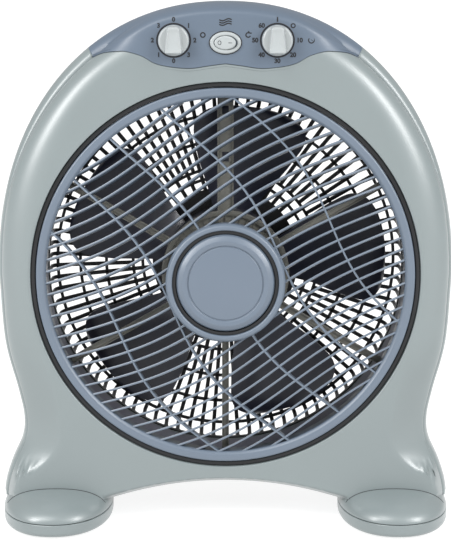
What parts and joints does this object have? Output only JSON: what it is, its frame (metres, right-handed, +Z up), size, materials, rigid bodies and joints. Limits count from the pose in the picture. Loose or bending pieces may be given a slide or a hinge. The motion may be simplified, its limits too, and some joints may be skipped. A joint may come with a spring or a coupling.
{
  "type": "box fan",
  "caption": "Free-standing box fan with a rotating louver grille in front of its blades, a control panel in the crown, a rear grille basket and two shoe-shaped feet.",
  "frame": {"origin": "on the floor, under the middle of the fan", "axes": "+X to the right seen from the front, +Y towards the back, +Z up; the fan blows towards -Y"},
  "size_m": [0.458, 0.156, 0.524],
  "materials": {
    "shell_plastic": "moulded pale grey-green plastic, smooth, semi-gloss",
    "panel_plastic": "moulded blue-grey plastic, satin",
    "louver_plastic": "moulded blue-grey plastic, satin",
    "duct_plastic": "moulded purple-grey plastic, satin",
    "guard_plastic": "moulded near-black plastic, matte",
    "blade_plastic": "moulded dark navy plastic, glossy",
    "black_plastic": "moulded black plastic, matte",
    "bridge_plastic": "moulded brownish grey plastic, matte",
    "knob_plastic": "moulded light grey plastic, satin",
    "switch_plastic": "moulded cream plastic, matte",
    "steel": "zinc-plated steel",
    "lamination": "stacked electrical steel, dull",
    "winding_copper": "varnished copper wire",
    "bush_bronze": "sintered bronze",
    "pad_rubber": "black rubber"
  },
  "bodies": {
    "housing": {"front_shell": "shell_plastic", "rear_shell": "shell_plastic", "air_duct": "duct_plastic", "control_panel": "panel_plastic", "rear_grille": "guard_plastic", "motor_bridge": "bridge_plastic", "louver_track_ring": "black_plastic", "louver_motor": "steel", "motor_front_cup": "steel", "motor_rear_cup": "steel", "motor_stator": "lamination", "winding_front": "winding_copper", "winding_rear": "winding_copper", "bush_front": "bush_bronze", "bush_rear": "bush_bronze", "speed_switch": "switch_plastic", "timer_body": "switch_plastic", "rocker_bezel": "knob_plastic", "run_capacitor": "black_plastic", "cord_gland": "black_plastic", "housing_screw_1": "steel", "housing_screw_2": "steel", "housing_screw_3": "steel", "housing_screw_4": "steel", "shoe_left": "shell_plastic", "shoe_right": "shell_plastic", "shoe_base_left": "shell_plastic", "shoe_base_right": "shell_plastic", "pad_left_front": "pad_rubber", "pad_left_rear": "pad_rubber", "pad_right_front": "pad_rubber", "pad_right_rear": "pad_rubber"},
    "fan": {"impeller": "blade_plastic", "spinner_nut": "blade_plastic", "motor_shaft": "steel", "drive_pin": "steel", "motor_rotor": "lamination"},
    "louver": {"louver_grille": "louver_plastic", "louver_cap": "louver_plastic", "louver_shaft": "steel"},
    "speed_dial": {"speed_knob": "knob_plastic", "speed_spindle": "steel"},
    "timer_dial": {"timer_knob": "knob_plastic", "timer_spindle": "steel"},
    "rocker": {"louver_rocker": "knob_plastic"}
  },
  "joints": [
    {"name": "fan_spin", "type": "hinge", "parent": "housing", "child": "fan", "pos_m": [0, 0.042, 0.2525], "axis": [0, 1, 0], "continuous": true},
    {"name": "louver_spin", "type": "hinge", "parent": "housing", "child": "louver", "pos_m": [0, -0.03, 0.2525], "axis": [0, 1, 0], "continuous": true},
    {"name": "speed_turn", "type": "hinge", "parent": "housing", "child": "speed_dial", "pos_m": [-0.0503, -0.036, 0.4863], "axis": [0, 1, 0], "continuous": true},
    {"name": "timer_turn", "type": "hinge", "parent": "housing", "child": "timer_dial", "pos_m": [0.0503, -0.036, 0.4863], "axis": [0, 1, 0], "range_deg": [0, 315]},
    {"name": "rocker_tip", "type": "hinge", "parent": "housing", "child": "rocker", "pos_m": [0, -0.03, 0.484], "axis": [0, 0, 1], "range_deg": [0, 20]}
  ]
}
